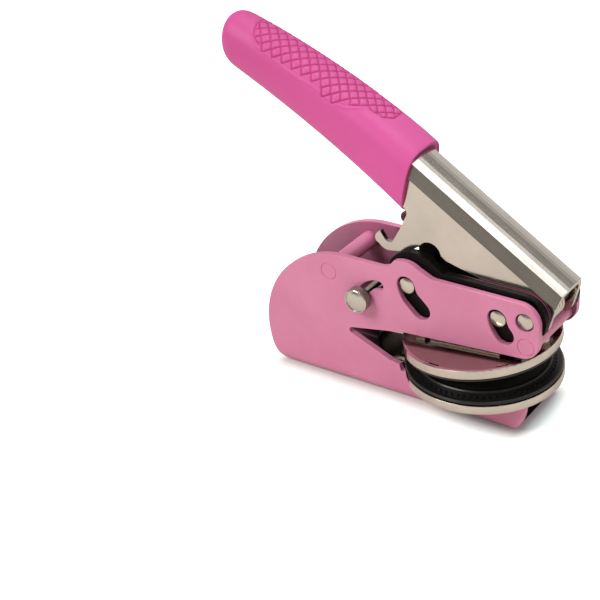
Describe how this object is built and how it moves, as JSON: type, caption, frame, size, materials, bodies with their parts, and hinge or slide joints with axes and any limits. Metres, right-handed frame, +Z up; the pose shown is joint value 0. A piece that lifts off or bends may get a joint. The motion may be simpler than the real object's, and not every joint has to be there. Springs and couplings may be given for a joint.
{
  "type": "seal embosser",
  "caption": "Hand-held seal embosser: a pivoted lever handle with a moulded grip presses a round pair of dies together in a folded steel frame.",
  "frame": {"origin": "on the resting plane of the base, on the axis of the dies", "axes": "+X towards the mouth of the dies (the front), +Y to the side away from the lock knob, +Z up"},
  "size_m": [0.1127, 0.0474, 0.1094],
  "materials": {
    "body_paint": "satin pink powder coat",
    "grip_vinyl": "soft matt vinyl, deep pink, with a scaled thumb panel",
    "nickel": "brushed nickel plate on pressed steel",
    "bright_steel": "bright turned steel",
    "spring_steel": "dark oiled spring steel",
    "black_paint": "gloss black enamel",
    "black_plastic": "black moulded plastic",
    "die_resin": "dark die resin, plain"
  },
  "bodies": {
    "frame": {"frame": "body_paint", "rear_spacer": "body_paint", "front_spacer": "body_paint", "pivot_pin": "bright_steel", "spring_sleeve": "black_plastic", "return_spring": "spring_steel", "lower_tray": "nickel", "lower_die": "black_plastic", "lower_face": "die_resin", "lower_screw": "bright_steel", "lower_rivets": "spring_steel", "clip_spring": "spring_steel"},
    "handle": {"handle": "nickel", "grip": "grip_vinyl", "press_pin": "bright_steel"},
    "press_lever": {"press_lever": "black_paint", "guide_pins": "bright_steel", "press_pad": "bright_steel"},
    "upper_die_set": {"upper_tray": "nickel", "upper_die": "black_plastic", "upper_face": "die_resin", "upper_rivets": "spring_steel", "pressure_plate": "nickel", "die_stud": "bright_steel"},
    "lock": {"lock_pin": "bright_steel", "lock_knob": "bright_steel", "lock_washers": "spring_steel", "lock_ring": "bright_steel"}
  },
  "joints": [
    {"name": "handle_pivot", "type": "hinge", "parent": "frame", "child": "handle", "pos_m": [0.0207, 0, 0.0381], "axis": [0, -1, 0], "range_deg": [0, 24], "stiffness_Nm_per_rad": 0.6, "springref_deg": -20.05, "deforming": ["return_spring"]},
    {"name": "press_link", "type": "hinge", "parent": "handle", "child": "press_lever", "pos_m": [0.01209, 0, 0.03675], "axis": [0, -1, 0], "range_deg": [-24, 0]},
    {"name": "die_hinge", "type": "hinge", "parent": "frame", "child": "upper_die_set", "pos_m": [-0.027, 0, 0.01505], "axis": [0, 1, 0], "range_deg": [0, 5.2], "deforming": ["clip_spring"]},
    {"name": "lock_swing", "type": "hinge", "parent": "frame", "child": "lock", "pos_m": [-0.0272, 0, 0.0309], "axis": [0, 1, 0], "range_deg": [0, 75]}
  ],
  "couplings": [
    {"joint": "press_link", "follows": "handle_pivot", "ratio": -1},
    {"joint": "die_hinge", "follows": "handle_pivot", "ratio": 0.21667}
  ]
}
